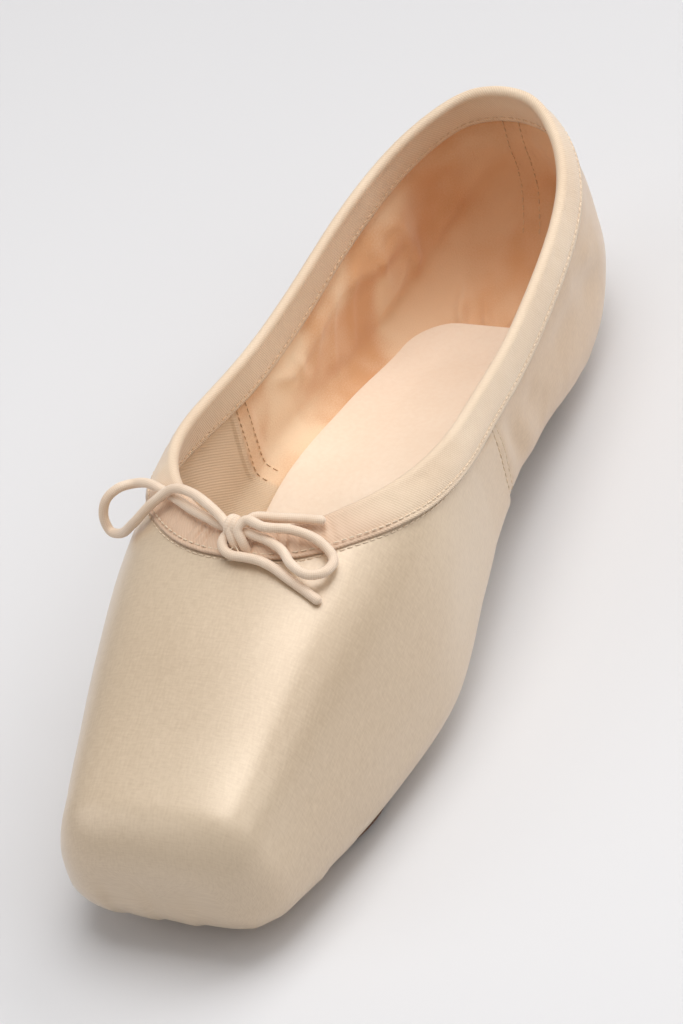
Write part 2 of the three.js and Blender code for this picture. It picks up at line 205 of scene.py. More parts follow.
def last_at(x):
    along = np.sqrt(np.clip(x / LENGTH, 0, 1))
    half, widest, crown, base, low, top = (np.interp(along, FINE, row) for row in FINE_SECTIONS)
    inward = drawn_in(TOE_ROUNDING, x - (LENGTH - TOE_ROUNDING))
    return half - inward, widest, crown - inward, base + REST_LIFT + inward, low, top


def last_value(x, y, z):
    """Below 1 inside the last, above 1 outside."""
    half, widest, crown, base, low, top = last_at(x)
    above = z > widest
    power = np.where(above, top, low)
    rise = np.where(above, crown - widest, widest - base)
    value = (np.abs(y) / half) ** power + (np.abs(z - widest) / np.maximum(rise, 0.05)) ** power
    return np.where((x <= 0) | (x >= LENGTH), 9.0, value)


def underside(x, y):
    half, widest, _, base, low, _ = last_at(x)
    share = np.minimum(np.abs(y) / half, 1)
    return widest - (widest - base) * (1 - share**low) ** (1 / low)


def underside_half(x, rise):
    half, widest, _, base, low, _ = last_at(x)
    share = 1 - rise / (widest - base)
    return half * (1 - share**low) ** (1 / low)


def outward(points):
    """Unit normals of the last's surface."""
    nudge = 0.05
    slopes = []
    for axis in range(3):
        step = np.zeros(3)
        step[axis] = nudge
        ahead = np.moveaxis(points + step, -1, 0)
        behind = np.moveaxis(points - step, -1, 0)
        slopes.append(last_value(*ahead) - last_value(*behind))
    normal = np.stack(slopes, -1)
    return normal / np.linalg.norm(normal, axis=-1, keepdims=True)


THROAT_HEIGHT = float(last_at(np.array(THROAT_X))[2])
rim_heel = smooth_curve(COLLAR[:, 0], COLLAR[:, 1])
rim_throat = smooth_curve(COLLAR[:, 0], COLLAR[:, 2])


def collar_height(x):
    at = x / THROAT_X
    rise = rim_heel(at) * (HEEL_HEIGHT - SIDE_HEIGHT)
    rise = rise + rim_throat(at) * (THROAT_HEIGHT - SIDE_HEIGHT)
    return SIDE_HEIGHT + rise + np.maximum(0, x - THROAT_X)


sole_table = smooth_curve(SOLE_OUTLINE[:, 0], SOLE_OUTLINE[:, 1] * SOLE_WIDTH / 2)


def sole_half(x):
    front = drawn_in(SOLE_TOE_ROUND, SOLE_TOE_ROUND - (SOLE_FRONT - x))
    rear = drawn_in(SOLE_CORNER, SOLE_CORNER - (x - SOLE_REAR))
    return sole_table((x - SOLE_REAR) / (SOLE_FRONT - SOLE_REAR)) - front - rear


def beyond_opening(x, y):
    past_end = np.maximum(SOLE_REAR + SOLE_LAP - x, x - (SOLE_FRONT - SOLE_LAP))
    return np.maximum(past_end, np.abs(y) - (sole_half(x) - SOLE_LAP))


# Ribs: upright planes that fan round the heel and the toe from two points on the centre line
HEEL_CENTRE = SOLE_REAR + SOLE_LAP + 15
TOE_CENTRE = THROAT_X - 31


def cast(turn, centre, lift, aside=0.0):
    """Where a ray from the centre line, or from beside it, leaves the last."""
    ray = np.stack([np.cos(lift) * np.cos(turn), np.cos(lift) * np.sin(turn), np.sin(lift)], -1)
    core = np.stack([centre, 0 * centre + aside, last_at(centre)[1]], -1)
    near = np.zeros(np.broadcast(turn, lift).shape)
    far = near + LENGTH
    for _ in range(34):
        middle = (near + far) / 2
        point = core + ray * middle[..., None]
        inside = last_value(*np.moveaxis(point, -1, 0)) < 1
        near = np.where(inside, middle, near)
        far = np.where(inside, far, middle)
    return core + ray * near[..., None]


def crossing(turn, centre, end, passed, aside=0.0):
    """The lift at which a rib crosses a limit."""
    kept = np.zeros(turn.shape)
    cut = kept + end
    for _ in range(26):
        middle = (kept + cut) / 2
        out = passed(*np.moveaxis(cast(turn, centre, middle, aside), -1, 0))
        cut = np.where(out, middle, cut)
        kept = np.where(out, kept, middle)
    return kept


def rib_planes(count, at_seam, at_heel):
    """Turn and centre of each rib, evenly spread round half the plan, with more at the seams."""
    part = 300
    fan = np.linspace(0, math.pi / 2, part)
    turn = np.concatenate([fan, np.full(part, math.pi / 2), math.pi / 2 + fan])
    slide = np.linspace(TOE_CENTRE, HEEL_CENTRE, part)
    centre = np.concatenate([np.full(part, TOE_CENTRE), slide, np.full(part, HEEL_CENTRE)])
    outline = cast(turn, centre, np.zeros(3 * part))
    run = length_along(outline)
    seam_run = np.interp(SEAM_X, slide[::-1], run[part:2 * part][::-1])
    more = [seam_run - np.array(at_seam), run[-1] - np.array(at_heel)]
    places = np.sort(np.concatenate([np.linspace(0, run[-1], count), *more]))
    return np.interp(places, run, turn), np.interp(places, run, centre)


def rib_lines(turn, centre, steps=150, aside=0.0):
    """Each rib's surface line from collar to sole opening, with the length run along it."""
    above = lambda x, y, z: z >= collar_height(x)
    within = lambda x, y, z: beyond_opening(x, y) <= 0
    top = crossing(turn, centre, 0.49 * math.pi, above, aside)
    low = crossing(turn, centre, -0.49 * math.pi, within, aside)
    share = np.linspace(0, 1, steps)
    lift = mix(top[:, None], low[:, None], share)
    line = cast(turn[:, None], centre[:, None], lift, aside)
    run = np.linalg.norm(np.diff(line, axis=1), axis=2).cumsum(axis=1)
    return line, np.concatenate([np.zeros((len(turn), 1)), run], 1)


def along_lines(line, run, wanted):
    """Points at the wanted distances below the rim, one row of distances for each rib."""
    out = np.empty((len(line), wanted.shape[1], 3))
    for i in range(len(line)):
        for axis in range(3):
            out[i, :, axis] = np.interp(wanted[i], run[i], line[i, :, axis])
    return out


def full_ring(half):
    """A half ring of columns and its mirror image, closed with a repeat of the first column."""
    across = half[1:-1][::-1].copy()
    across[..., 1] *= -1
    return np.concatenate([half, across, half[:1]])


def wall_at(x, z, below_rim):
    """The wall's thickness: it grows towards the box and thins where it laps under the foot."""
    box_length, box_depth, lap_height = 45, 25, 15
    box = smooth((x - SEAM_X) / box_length) * smooth(below_rim / box_depth)
    low = 1 - smooth((z - last_at(x)[3]) / lap_height)
    return mix(mix(QUARTER_WALL, BOX_WALL, box), LAP_WALL, low)


def below_tape(depth, edge):
    """0 under the tape, 1 from 2 mm below its edge on."""
    return smooth((depth - edge) / 2)


def seam_height(x, y, below_rim):
    """The vamp's folded edge along the side seam, dying away to the toe, the tape and the sole."""
    clear = below_tape(below_rim, TAPE_OUTER) * smooth((np.abs(y) - sole_half(x)) / 2)
    fold = smooth((x - SEAM_X + 0.45) / 0.5) * np.clip(1 - (x - SEAM_X) / SEAM_FADE, 0, 1)
    return SEAM_STEP * clear * fold


def billow(points, size, seed):
    """Smooth noise from -1 to 1 with features of a given size in millimetres."""
    shape = points.shape[:-1]
    flat = (points / size + seed).reshape(-1, 3)
    return np.array([noise.noise(p) for p in flat]).reshape(shape)


# Soft creases of the quarters, in side view: from, to, width and height; one list for each side
CREASES = {
    1: [
        (103, 42, 99, 24, 3.6, 0.55), (98, 38, 93, 20, 3.4, -0.65), (93, 32, 85, 19, 3.8, 0.55),
        (85, 36, 77, 20, 4.2, -0.5), (76, 26, 58, 20, 4.6, 0.35), (68, 34, 44, 25, 5.0, -0.45),
        (45, 31, 30, 21, 4.0, -0.75), (38, 35, 23, 26, 3.8, 0.55), (30, 26, 17, 20, 3.4, 0.4),
        (23, 40, 13, 28, 3.8, -0.4),
    ],
    -1: [
        (103, 34, 97, 20, 3.8, 0.5), (95, 40, 88, 22, 4.0, -0.6), (84, 30, 71, 20, 4.4, 0.5),
        (63, 37, 44, 24, 5.2, -0.45), (41, 28, 28, 21, 4.0, 0.45), (31, 38, 18, 26, 3.8, -0.6),
        (18, 34, 11, 24, 3.4, 0.35),
    ],
}


def crease(across, along, mark):
    """One soft crease between two points: how far along it a place lies, and its height there."""
    x0, y0, x1, y1, width, height = mark
    share = (across - x0) * (x1 - x0) + (along - y0) * (y1 - y0)
    held = np.clip(share / ((x1 - x0) ** 2 + (y1 - y0) ** 2), 0, 1)
    away = np.hypot(across - x0 - held * (x1 - x0), along - y0 - held * (y1 - y0))
    return held, height * bell(away, width)


def creases(x, y, z):
    total = np.zeros(x.shape)
    for side, marks in CREASES.items():
        shown = smooth(side * y / 9)
        for mark in marks:
            held, rise = crease(x, z, mark)
            total += shown * (1 - 0.6 * (2 * held - 1) ** 2) * rise
    return total


def toe_pleats(x, y, z):
    """Folds of satin gathered under the platform, from the outsole's front to the edge."""
    pleats, lean = 9, 0.8
    turn = np.arctan2(y, x - (SOLE_FRONT - 16))
    wave = turn * pleats / math.pi + 0.35 * np.sin(turn * 3.1 + 0.6)
    rise = wave - np.floor(wave)
    fold = np.where(rise < lean, rise / lean, (1 - rise) / (1 - lean)) - 0.5
    beyond = np.maximum(x - SOLE_FRONT, np.abs(y) - sole_half(np.minimum(x, SOLE_FRONT)))
    lower = 1 - smooth((z - last_at(np.minimum(x, LENGTH - 0.1))[3] - 2) / 7)
    return fold * lower * smooth((x - 196) / 14) * smooth((beyond - 0.3) / 3)


class Socket:
    """A shader socket; Python's operators on it add Math nodes."""

    def __init__(self, tree, out):
        self.tree = tree
        self.out = out

    def feed(self, slot, value):
        if isinstance(value, Socket):
            self.tree.links.new(value.out, slot)
        else:
            slot.default_value = value

    def node(self, kind, settings=None, sockets=None, output=0):
        """Any other node: its type, its settings, and the values or links of its sockets."""
        made = self.tree.nodes.new("ShaderNode" + kind)
        for name, value in (settings or {}).items():
            setattr(made, name, value)
        for name, value in (sockets or {}).items():
            self.feed(made.inputs[name], value)
        return Socket(self.tree, made.outputs[output])

    def math(self, operation, *values):
        return self.node("Math", {"operation": operation}, dict(enumerate(values)))

    def __add__(self, other):
        return self.math("ADD", self, other)

    def __sub__(self, other):
        return self.math("SUBTRACT", self, other)

    def __mul__(self, other):
        return self.math("MULTIPLY", self, other)

    def __truediv__(self, other):
        return self.math("DIVIDE", self, other)

    def __rsub__(self, other):
        return self.math("SUBTRACT", other, self)

    def __gt__(self, other):
        return self.math("GREATER_THAN", self, other)

    __radd__ = __add__
    __rmul__ = __mul__

    def sine(self):
        return self.math("SINE", self)

    def fraction(self):
        return self.math("FRACT", self)

    def size(self):
        return self.math("ABSOLUTE", self)

    def larger(self, other):
        return self.math("MAXIMUM", self, other)

    def blend(self, first, second):
        """A colour between two, by this value."""
        settings = {"data_type": "RGBA"}
        return self.node("Mix", settings, {"Factor": self, 6: first, 7: second}, 2)

    def ramp(self, low, high):
        """From 0 to 1 as this value goes from low to high."""
        sockets = {"Value": self, "From Min": low, "From Max": high}
        return self.node("MapRange", {"interpolation_type": "SMOOTHSTEP"}, sockets)

    def dyed(self, dark, light, low=0.3, high=0.7):
        """A colour from dark to light, as it looks on screen, by this value."""
        return self.ramp(low, high).blend(linear(*dark), linear(*light))

    def bump(self, strength, depth):
        return self.node("Bump", {}, {"Height": self, "Strength": strength, "Distance": depth})


def linear(red, green, blue):
    """A colour given as it looks on screen, turned to the shader's own scale."""
    return tuple(((c + 0.055) / 1.055) ** 2.4 for c in (red, green, blue)) + (1.0,)


def material(name, roughness, **fixed):
    """A new material, its shader, and a socket to start its pattern from."""
    made = bpy.data.materials.new(name)
    made.use_nodes = True
    shader = made.node_tree.nodes["Principled BSDF"]
    shader.inputs["Roughness"].default_value = roughness
    for key, value in fixed.items():
        shader.inputs[key.replace("_", " ")].default_value = value
    return made, shader, Socket(made.node_tree, shader.outputs[0])


def finish(made, start, shader, colour, height=None, roughness=None):
    """Gives the shader its colour and, where there are any, its relief and its gloss."""
    start.feed(shader.inputs["Base Color"], colour)
    if height is not None:
        start.feed(shader.inputs["Normal"], height)
    if roughness is not None:
        start.feed(shader.inputs["Roughness"], roughness)
    return made


def cloth_axes(start):
    """The cloth's own directions, in millimetres, from the piece's texture map."""
    place = start.node("TexCoord", output=2)
    return [start.node("SeparateXYZ", {}, {"Vector": place}, axis) * METRE for axis in range(2)]


def shoe_axes(start):
    """The place on the shoe, in millimetres."""
    place = start.node("TexCoord", output=3)
    return [start.node("SeparateXYZ", {}, {"Vector": place}, axis) * METRE for axis in range(3)]


def speckle(start, place, scale, detail, roughness):
    sockets = {"Vector": place, "Scale": scale, "Detail": detail, "Roughness": roughness}
    return start.node("TexNoise", {"noise_dimensions": "3D"}, sockets)


def grain(start, across, along, size, detail=2.0):
    """Noise stretched by different sizes along two directions, from 0 to 1."""
    place = start.node("CombineXYZ", {}, {"X": across, "Y": along})
    return speckle(start, place, 1.0 / size, detail, 0.55)


def cloud(start, size, detail=2.0):
    """Noise with blotches of one size in millimetres, from 0 to 1."""
    return speckle(start, start.node("TexCoord", output=3), METRE / size, detail, 0.5)


def ribs(distance, pitch):
    """Fine ribs across a direction, from 0 to 1."""
    return (distance * (2 * math.pi / pitch)).sine() * 0.5 + 0.5


def satin_material():
    gloss = {"Metallic": 0.14, "Coat_Weight": 0.7, "Coat_Roughness": 0.33}
    sheen = {"Sheen_Weight": 0.1, "Sheen_Tint": (1.0, 0.84, 0.70, 1.0)}
    made, shader, start = material("peach satin", 0.4, **gloss, **sheen)
    along, across = cloth_axes(start)
    weft = grain(start, along, across * 0.22, 0.5)
    warp = grain(start, along * 0.22, across, 0.5)
    weave = weft * 0.5 + warp * 0.5
    tone = cloud(start, 60) * 0.4 + weave * 0.6
    box = tone.dyed((0.80, 0.705, 0.59), (0.87, 0.785, 0.675))
    # Painted shade: the quarters' satin is darker and warmer than the box's, and fades into it between
    # the two places
    quarter = tone.dyed((0.78, 0.655, 0.52), (0.85, 0.735, 0.60))
    colour = shoe_axes(start)[0].ramp(*QUARTER_SHADE_TO_BOX).blend(quarter, box)
    return finish(made, start, shader, colour, weave.bump(0.22, 0.0002), weave * 0.14 + 0.31)


def lining_material():
    made, shader, start = material("peach cotton drill", 0.85, Sheen_Weight=0.3)
    along, across = cloth_axes(start)
    place = shoe_axes(start)
    vamp = place[0].ramp(*QUARTER_TO_VAMP)
    twill = ribs(along * 0.85 - across * 1.1, 0.9)
    plain = grain(start, along, across, 0.45, 3.0)
    height = vamp * twill * 0.5 + plain * (1 - vamp * 0.5)
    tone = cloud(start, 20, 2.0) * 0.8 + height * 0.2
    quarter = tone.dyed((0.87, 0.665, 0.48), (0.97, 0.86, 0.725), 0.35, 0.65)
    # Painted shade: the quarters' lining is darkened and warmed towards the back of the heel
    heel = (1 - place[0].ramp(*HEEL_SHADE_TO_QUARTER)) * 0.5
    quarter = heel.blend(quarter, linear(0.85, 0.62, 0.42))
    front = tone.dyed((0.84, 0.73, 0.60), (0.92, 0.82, 0.70), 0.25, 0.75)
    return finish(made, start, shader, vamp.blend(quarter, front), height.bump(0.35, 0.0003))


def tape_material():
    made, shader, start = material("peach ribbed tape", 0.55, Sheen_Weight=0.3)
    along, across = cloth_axes(start)
    rib = ribs(along + across * 0.55, 0.62)
    thread = grain(start, along, across * 0.3, 0.5)
    height = rib * 0.6 + thread * 0.4
    tone = height * 0.5 + cloud(start, 18) * 0.5
    colour = tone.dyed((0.88, 0.77, 0.65), (0.94, 0.85, 0.74), 0.2, 0.8)
    # Painted shade: the tape turns darker and pinker towards the front of the throat, under the bow
    front = shoe_axes(start)[0].ramp(*TAPE_THROAT_SHADE) * 0.6
    colour = front.blend(colour, linear(0.83, 0.675, 0.56))
    return finish(made, start, shader, colour, height.bump(0.4, 0.0002))


def sock_material():
    made, shader, start = material("pale peach sock", 0.55, Sheen_Weight=0.2)
    nap = cloud(start, 1.2, 4.0)
    tone = cloud(start, 30) * 0.6 + nap * 0.4
    colour = tone.dyed((0.945, 0.86, 0.765), (0.97, 0.90, 0.815))
    return finish(made, start, shader, colour, nap.bump(0.2, 0.0002))


def suede_material():
    made, shader, start = material("grey tan suede", 0.92, Sheen_Weight=0.4)
    x, y, _ = shoe_axes(start)
    edge = start.node("Attribute", {"attribute_name": "edge"}, output=2)
    run = start.node("Attribute", {"attribute_name": "run"}, output=2)
    nap = cloud(start, 1.1, 5.0)
    tone = nap * 0.6 + cloud(start, 14, 3.0) * 0.4
    colour = tone.dyed((0.50, 0.43, 0.34), (0.64, 0.57, 0.48))
    speck = (cloud(start, 0.9, 1.0) > 0.68) * 0.5
    colour = speck.blend(colour, linear(0.36, 0.28, 0.21))
    scored = (edge > SCORED_INSET) * x.ramp(*SCORED_FROM) * (1 - x.ramp(*SCORED_TO))
    thick = scored * score_lines(x * 0.72 + y * 0.69, 11.5, 0.02, 0.045) * 0.9
    thin = scored * score_lines(x * 0.66 - y * 0.75, 8.5, 0.012, 0.035) * 0.7
    cut = thick.larger(thin)
    colour = cut.blend(colour, linear(0.38, 0.17, 0.12))
    outer, inner = (needle_row(run, edge, *row) for row in SOLE_HOLE_ROWS)
    hole = outer.larger(inner)
    colour = hole.blend(colour, linear(0.16, 0.12, 0.09))
    height = nap * 0.25 - cut * 1.2 - hole * 2.0
    return finish(made, start, shader, colour, height.bump(0.6, 0.0004))


def score_lines(distance, pitch, core, rim):
    """Lines one pitch apart; core and rim are the shares of it where they begin and end to fade."""
    return 1 - ((distance / pitch).fraction() - 0.5).size().ramp(core, rim)


def needle_row(run, edge, inset, shift):
    """Stitch holes in a row, at an inset from the outline."""
    step = ((run / SOLE_HOLE_PITCH + shift).fraction() - 0.5) * SOLE_HOLE_PITCH
    aside = edge - inset
    return 1 - (step * step + aside * aside).ramp(0.12, 0.34)


def sole_edge_material():
    made, shader, start = material("burnished leather edge", 0.55)
    tone = cloud(start, 2.5, 4.0)
    colour = tone.dyed((0.33, 0.20, 0.13), (0.46, 0.31, 0.21))
    return finish(made, start, shader, colour, tone.bump(0.3, 0.0003))


def cord_material():
    made, shader, start = material("peach elastic cord", 0.6, Sheen_Weight=0.35)
    along, around = cloth_axes(start)
    one = ((along + around) * (2 * math.pi / 0.85)).sine()
    other = ((along - around) * (2 * math.pi / 0.85)).sine()
    braid = one * other * 0.5 + 0.5
    tone = braid * 0.4 + cloud(start, 6) * 0.6
    colour = tone.dyed((0.91, 0.80, 0.69), (0.96, 0.875, 0.785), 0.2, 0.8)
    return finish(made, start, shader, colour, braid.bump(0.3, 0.00015))


def thread_material(name, shade):
    made, shader, start = material(name, 0.5)
    tone = cloud(start, 0.5)
    colour = tone.dyed([0.9 * c for c in shade], shade)
    return finish(made, start, shader, colour, tone.bump(0.2, 0.0001))


SATIN = satin_material()
LINING = lining_material()
TAPE = tape_material()
SOCK = sock_material()
SUEDE = suede_material()
SOLE_EDGE = sole_edge_material()
CORD = cord_material()
PALE_THREAD = thread_material("pale thread", (0.94, 0.85, 0.74))
TAN_THREAD = thread_material("tan thread", (0.93, 0.79, 0.64))


def deselect():
    for item in list(bpy.context.selected_objects):
        item.select_set(False)


def select_only(piece):
    deselect()
    piece.select_set(True)
    bpy.context.view_layer.objects.active = piece


def new_object(name, data):
    made = bpy.data.objects.new(name, data)
    bpy.context.scene.collection.objects.link(made)
    return made


def in_metres(points):
    return (points - np.array([LENGTH / 2, 0, 0])) * MM


def to_grid(name, points, maps, materials, row_materials=None, choose=None):
    """A grid primitive with each vertex moved to its place; doubles are merged into closed rings.
    maps holds one or two texture maps, and choose says for each column which one it uses."""
    columns, rows = points.shape[:2]
    deselect()
    bpy.ops.mesh.primitive_grid_add(x_subdivisions=columns - 1, y_subdivisions=rows - 1, size=1)
    piece = bpy.context.object
    piece.name = name
    mesh = piece.data
    mesh.name = name
    mesh.vertices.foreach_set("co", in_metres(points).swapaxes(0, 1).ravel())
    place_map(mesh, columns, rows, maps, choose)
    for each in materials:
        mesh.materials.append(each)
    if row_materials is not None:
        mesh.polygons.foreach_set("material_index", np.repeat(row_materials, columns - 1))
    merge_doubles(piece)
    face_outwards(mesh)
    mesh.update()
    return piece


def place_map(mesh, columns, rows, maps, choose):
    layer = mesh.uv_layers[0]
    spots = np.empty(2 * len(mesh.loops), np.float32)
    layer.data.foreach_get("uv", spots)
    spots = spots.reshape(-1, 2)
    column = np.rint(spots[:, 0] * (columns - 1)).astype(int)
    row = np.rint(spots[:, 1] * (rows - 1)).astype(int)
    placed = maps[0][column, row]
    if choose is not None:
        face_column = np.repeat(np.arange(len(mesh.polygons)) % (columns - 1), 4)
        placed = np.where(choose[face_column][:, None], maps[1][column, row], placed)
    layer.data.foreach_set("uv", (placed * MM).astype(np.float32).ravel())


def merge_doubles(piece):
    select_only(piece)
    bpy.ops.object.mode_set(mode="EDIT")
    bpy.ops.mesh.select_all(action="SELECT")
    bpy.ops.mesh.remove_doubles(threshold=1e-6)
    bpy.ops.mesh.select_all(action="DESELECT")
    bpy.ops.object.mode_set(mode="OBJECT")


def spots_of(mesh):
    spots = np.empty(3 * len(mesh.vertices), np.float32)
    mesh.vertices.foreach_get("co", spots)
    return spots.reshape(-1, 3)


def enclosed(mesh):
    """Six times the volume inside the faces, below zero where they point inwards."""
    mesh.calc_loop_triangles()
    corners = np.empty(3 * len(mesh.loop_triangles), np.int32)
    mesh.loop_triangles.foreach_get("vertices", corners)
    a, b, c = spots_of(mesh)[corners.reshape(-1, 3)].swapaxes(0, 1)
    return float(np.einsum("ij,ij->", a, np.cross(b, c)))


def face_outwards(mesh):
    """Turns the faces outwards and shades them smooth."""
    if enclosed(mesh) < 0:
        mesh.flip_normals()
    mesh.polygons.foreach_set("use_smooth", np.ones(len(mesh.polygons), bool))


def apply_modifier(piece, kind, **settings):
    select_only(piece)
    modifier = piece.modifiers.new(kind.title(), kind)
    for name, value in settings.items():
        setattr(modifier, name, value)
    bpy.ops.object.modifier_apply(modifier=modifier.name)


# Ribs round half the plan, and more beside the seams: millimetres from the side and the heel seam
RIB_COUNT = 236
SEAM_COLUMNS = (-5, -3.4, -2.2, -1.5, -1.0, -0.6, -0.25, 0.0, 0.2, 0.4, 0.7, 1.1, 1.6, 2.3, 3.3)
HEEL_COLUMNS = (0.35, 0.7, 1.1, 1.5, 1.9, 2.3, 2.8)
OUTER_ROWS = 92
INNER_ROWS = 54
rib_turn, rib_centre = rib_planes(RIB_COUNT, SEAM_COLUMNS, HEEL_COLUMNS)
rib_turn[0], rib_turn[-1] = 0, math.pi
rib_path, rib_run = rib_lines(rib_turn, rib_centre)


def evenly(rows):
    """Points of every rib, evenly spread from rim to opening, as a full ring, with their depths."""
    wanted = rib_run[:, -1:] * np.linspace(0, 1, rows)
    points = along_lines(rib_path, rib_run, wanted)
    depth = np.concatenate([wanted, wanted[1:-1][::-1], wanted[:1]])
    length = np.concatenate([rib_run[:, -1], rib_run[1:-1, -1][::-1], rib_run[:1, -1]])
    return full_ring(points), depth, length[:, None] - depth


def columns_of(points):
    return points[..., 0], points[..., 1], points[..., 2]


def girth_map(points):
    """The vamp's cloth: along the shoe, and round it from the middle of the top."""
    x, y, z = columns_of(points)
    sections, parts = 160, 180
    xs = np.linspace(0.5, LENGTH - 0.1, sections)
    angle = np.linspace(math.pi / 2, -math.pi / 2, parts + 1)
    half, widest, crown, base, low, top = (row[:, None] for row in last_at(xs))
    above = angle > 0
    power = np.where(above, top, low)
    rise = np.where(above, crown - widest, widest - base)
    reach = np.abs(np.cos(angle) / half) ** power + np.abs(np.sin(angle) / rise) ** power
    reach = reach ** (-1 / power)
    ring = np.stack([reach * np.cos(angle), reach * np.sin(angle)], -1)
    steps = np.linalg.norm(np.diff(ring, axis=1), axis=2).cumsum(axis=1)
    table = np.concatenate([np.zeros((sections, 1)), steps], 1)
    seen = np.arctan2(z - last_at(x)[1], np.abs(y))
    column = np.clip(np.interp(x, xs, np.arange(sections)), 0, sections - 1.001)
    row = np.clip((math.pi / 2 - seen) / math.pi * parts, 0, parts - 0.001)
    i, j = column.astype(int), row.astype(int)
    s, t = column - i, row - j
    girth = (1 - s) * ((1 - t) * table[i, j] + t * table[i, j + 1])
    girth += s * ((1 - t) * table[i + 1, j] + t * table[i + 1, j + 1])
    face = np.clip((x - (LENGTH - TOE_ROUNDING)) / TOE_ROUNDING, 0, 1) ** 2
    drop = face * np.maximum(0, last_at(np.full(x.shape, LENGTH - TOE_ROUNDING))[2] - z)
    return np.stack([x + drop, girth * np.sign(y)], -1)


# The box's soft shoulder and the hollow below it: height, angle round the section and width
BOX_SHOULDER = ((0.7, 0.92, 0.25), (-1.1, 0.46, 0.26))

# Soft waves of the satin: size, seed, height on the vamp and on the quarters
SATIN_WAVES = ((17, 3.1, 0.10, 0.28), (6, 9.7, 0.03, 0.10))


def box_shoulder(x, y, z):
    """The box's soft shoulder on each side, from the throat to the platform's corner."""
    half, widest, crown, *_ = last_at(np.minimum(x, LENGTH - 1.0))
    lean = np.arctan2((z - widest) / (crown - widest), np.abs(y) / half)
    shown = smooth((x - 140) / 30) * (1 - smooth((x - 222) / 12))
    return shown * sum(height * bell(lean - at, width) for height, at, width in BOX_SHOULDER)


def outer_lift(points, depth, to_opening):
    """How far the satin stands off the last."""
    x, y, z = columns_of(points)
    clear = smooth((depth - TAPE_OUTER - 1) / 8) * smooth((to_opening - 7) / 6)
    quarter = 1 - smooth((x - SEAM_X + 1) / 1.5)
    lift = seam_height(x, y, depth)
    lift += clear * quarter * creases(x, y, z)
    for size, seed, on_vamp, on_quarter in SATIN_WAVES:
        lift += clear * mix(on_vamp, on_quarter, quarter) * billow(points, size, seed)
    lift += PLEAT_HEIGHT * toe_pleats(x, y, z) + box_shoulder(x, y, z)
    shown = below_tape(depth, TAPE_OUTER)
    groove = sum(bell(SEAM_X - x - back, GROOVE_WIDTH) for back in SEAM_ROWS)
    lift -= GROOVE_DEPTH * groove * shown * smooth((to_opening - 6) / 2)
    lift -= heel_seam(x, y) * shown * smooth((to_opening - 6) / 3)
    pucker = bell(depth - TAPE_OUTER - 1.0, 2.2)
    return lift + 0.10 * pucker * billow(points, 2.6, 5.0)


def heel_shown(x):
    """1 at the back of the heel, 0 from 25 mm in front of it on."""
    return smooth((25 - x) / 20)


def heel_seam(x, y):
    """The heel seam's groove, and the step of the seam allowance beside it."""
    groove, allowance = 0.4, 0.22
    step = smooth((y + 0.2) / 0.4) * (1 - smooth((y - 2.2) / 0.8))
    return heel_shown(x) * (bell(y, GROOVE_WIDTH) * groove - allowance * step)


def lining_folds(points):
    """Loose folds of the lining: a net of soft ridges that run mostly down from the collar."""
    drawn = points * np.array([1.0, 1.0, 0.55])
    wide = bell(billow(drawn, 22, 21.3), 0.11)
    fine = bell(billow(drawn, 12, 4.4), 0.13)
    return 1.3 * wide + 0.5 * fine + 2.0 * (billow(points, 26, 7.7) + 0.45)


def inner_lift(points, depth):
    """How far the lining stands in from the last: the wall and its own soft wrinkles."""
    x, y, z = columns_of(points)
    above = z - last_at(x)[3]
    clear = smooth((depth - TAPE_INNER - 1) / 7) * smooth((above - 7) / 7)
    quarter = 1 - smooth((x - SEAM_X) / 2)
    sewn_down = 1 - 0.85 * bell(x - SEAM_X + 3, 9)
    lift = wall_at(x, z, depth) + clear * sewn_down * mix(0.12, 1.0, quarter) * lining_folds(points)
    shown = below_tape(depth, TAPE_INNER) * smooth((above - 5) / 3)
    band = smooth((x - SEAM_X + 7) / 0.8) * (1 - smooth((x - SEAM_X - 1) / 0.8))
    lift += 0.35 * band * shown
    lift += 0.3 * heel_shown(x) * shown * (1 - smooth((np.abs(y) - 3) / 0.8))
    return lift + seat_folds(x, y) * (1 - smooth((above - 6) / 6))


# Creases of the lining on the heel seat behind the insole, in plan: from, to, width and height
SEAT_CREASES = (
    (32, -11, 19, -15, 1.5, 2.0), (32, -4, 22, -8, 1.3, 1.6), (32, 3, 20, 5, 1.5, 2.1),
    (32, 11, 21, 15, 1.4, 1.7), (30, -15, 16, -6, 2.0, 0.9), (28, 7, 14, 0, 2.0, 1.0),
)


def seat_folds(x, y):
    total = np.zeros(x.shape)
    for mark in SEAT_CREASES:
        held, rise = crease(x, y, mark)
        total += (1 - 0.7 * held) * rise
    return total * smooth((INSOLE_REAR - 0.5 - x) / 2)


def make_upper():
    outer, depth, to_opening = evenly(OUTER_ROWS)
    inner, inner_depth, _ = evenly(INNER_ROWS)
    satin = outer + outward(outer) * outer_lift(outer, depth, to_opening)[..., None]
    lining = inner - outward(inner) * inner_lift(inner, inner_depth)[..., None]
    lining = lining[:, ::-1]
    points = np.concatenate([satin, lining, satin[:, :1]], 1)
    plain = np.concatenate([outer, inner[:, ::-1], outer[:, :1]], 1)
    depths = np.concatenate([depth, inner_depth[:, ::-1], depth[:, :1]], 1)
    around = np.broadcast_to(length_along(outer[:, 0])[:, None], depths.shape)
    quarters = np.stack([around, depths], -1)
    side_row = 20
    middle = (outer[:-1, side_row, 0] + outer[1:, side_row, 0]) / 2
    row_materials = np.array([0] * (OUTER_ROWS - 1) + [1] * (INNER_ROWS + 1))
    maps = [girth_map(plain), quarters]
    piece = to_grid("satin_upper", points, maps, [SATIN, LINING], row_materials, middle < SEAM_X)
    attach(piece, "root")
    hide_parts("upper")


make_upper()


def rim_fold(top, normal, up, wall, angle, clear):
    """A point of the tape's fold over the rim."""
    reach = (wall / 2 + clear)[:, None]
    middle = top - normal * (wall / 2)[:, None]
    return middle + normal * reach * math.cos(angle) + up * reach * math.sin(angle)


